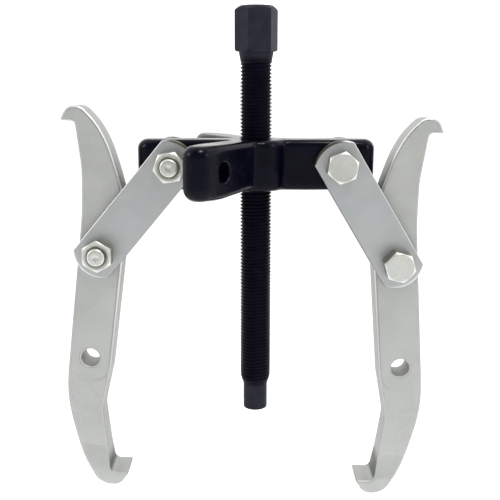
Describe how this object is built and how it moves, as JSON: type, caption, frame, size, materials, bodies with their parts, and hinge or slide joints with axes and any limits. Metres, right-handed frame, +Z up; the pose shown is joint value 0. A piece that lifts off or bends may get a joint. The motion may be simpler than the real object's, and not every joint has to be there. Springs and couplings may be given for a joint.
{
  "type": "gear puller",
  "caption": "Gear puller with a black yoke, a forcing screw and reversible hooked jaws hung on paired steel straps.",
  "frame": {"origin": "centre of the end face of the forcing screw's dog point", "axes": "+Z up along the forcing screw, towards its hex head; +X towards the right jaw, -Y towards the viewer"},
  "size_m": [0.1933, 0.1116, 0.2562],
  "materials": {
    "yoke_coat": "gloss black coating over a casting",
    "black_oxide": "satin black oxide",
    "point_steel": "ground hardened steel",
    "strap_zinc": "bright zinc plate",
    "jaw_zinc": "matte zinc plate over a forging",
    "fastener_zinc": "zinc plate with a faint yellow-green tint"
  },
  "bodies": {
    "yoke": {"yoke": "yoke_coat"},
    "point": {"centre_point": "point_steel"},
    "screw": {"forcing_screw": "black_oxide"},
    "left_straps": {"left_front_strap": "strap_zinc", "left_rear_strap": "strap_zinc", "left_upper_bolt": "fastener_zinc", "left_lower_bolt": "fastener_zinc", "left_upper_nut": "fastener_zinc", "left_lower_nut": "fastener_zinc"},
    "right_straps": {"right_front_strap": "strap_zinc", "right_rear_strap": "strap_zinc", "right_upper_bolt": "fastener_zinc", "right_lower_bolt": "fastener_zinc", "right_upper_nut": "fastener_zinc", "right_lower_nut": "fastener_zinc"},
    "left_jaw": {"left_jaw": "jaw_zinc"},
    "right_jaw": {"right_jaw": "jaw_zinc"}
  },
  "joints": [
    {"name": "screw_feed", "type": "slide", "parent": "yoke", "child": "point", "axis": [0, 0, -1], "range_m": [-0.102, 0.039]},
    {"name": "screw_turn", "type": "hinge", "parent": "point", "child": "screw", "pos_m": [0, 0, 0], "axis": [0, 0, -1], "continuous": true},
    {"name": "left_strap_swing", "type": "hinge", "parent": "yoke", "child": "left_straps", "pos_m": [-0.0424, 0, 0.132], "axis": [0, 1, 0], "range_deg": [-22, 38]},
    {"name": "left_jaw_swing", "type": "hinge", "parent": "left_straps", "child": "left_jaw", "pos_m": [-0.0794, 0, 0.08759], "axis": [0, -1, 0], "range_deg": [-10, 32]},
    {"name": "right_strap_swing", "type": "hinge", "parent": "yoke", "child": "right_straps", "pos_m": [0.0424, 0, 0.132], "axis": [0, -1, 0], "range_deg": [-12, 48]},
    {"name": "right_jaw_swing", "type": "hinge", "parent": "right_straps", "child": "right_jaw", "pos_m": [0.07208, 0, 0.0824], "axis": [0, 1, 0], "range_deg": [-4, 28]}
  ],
  "couplings": [
    {"joint": "screw_turn", "follows": "screw_feed", "rad_per_m": 3463.2}
  ]
}
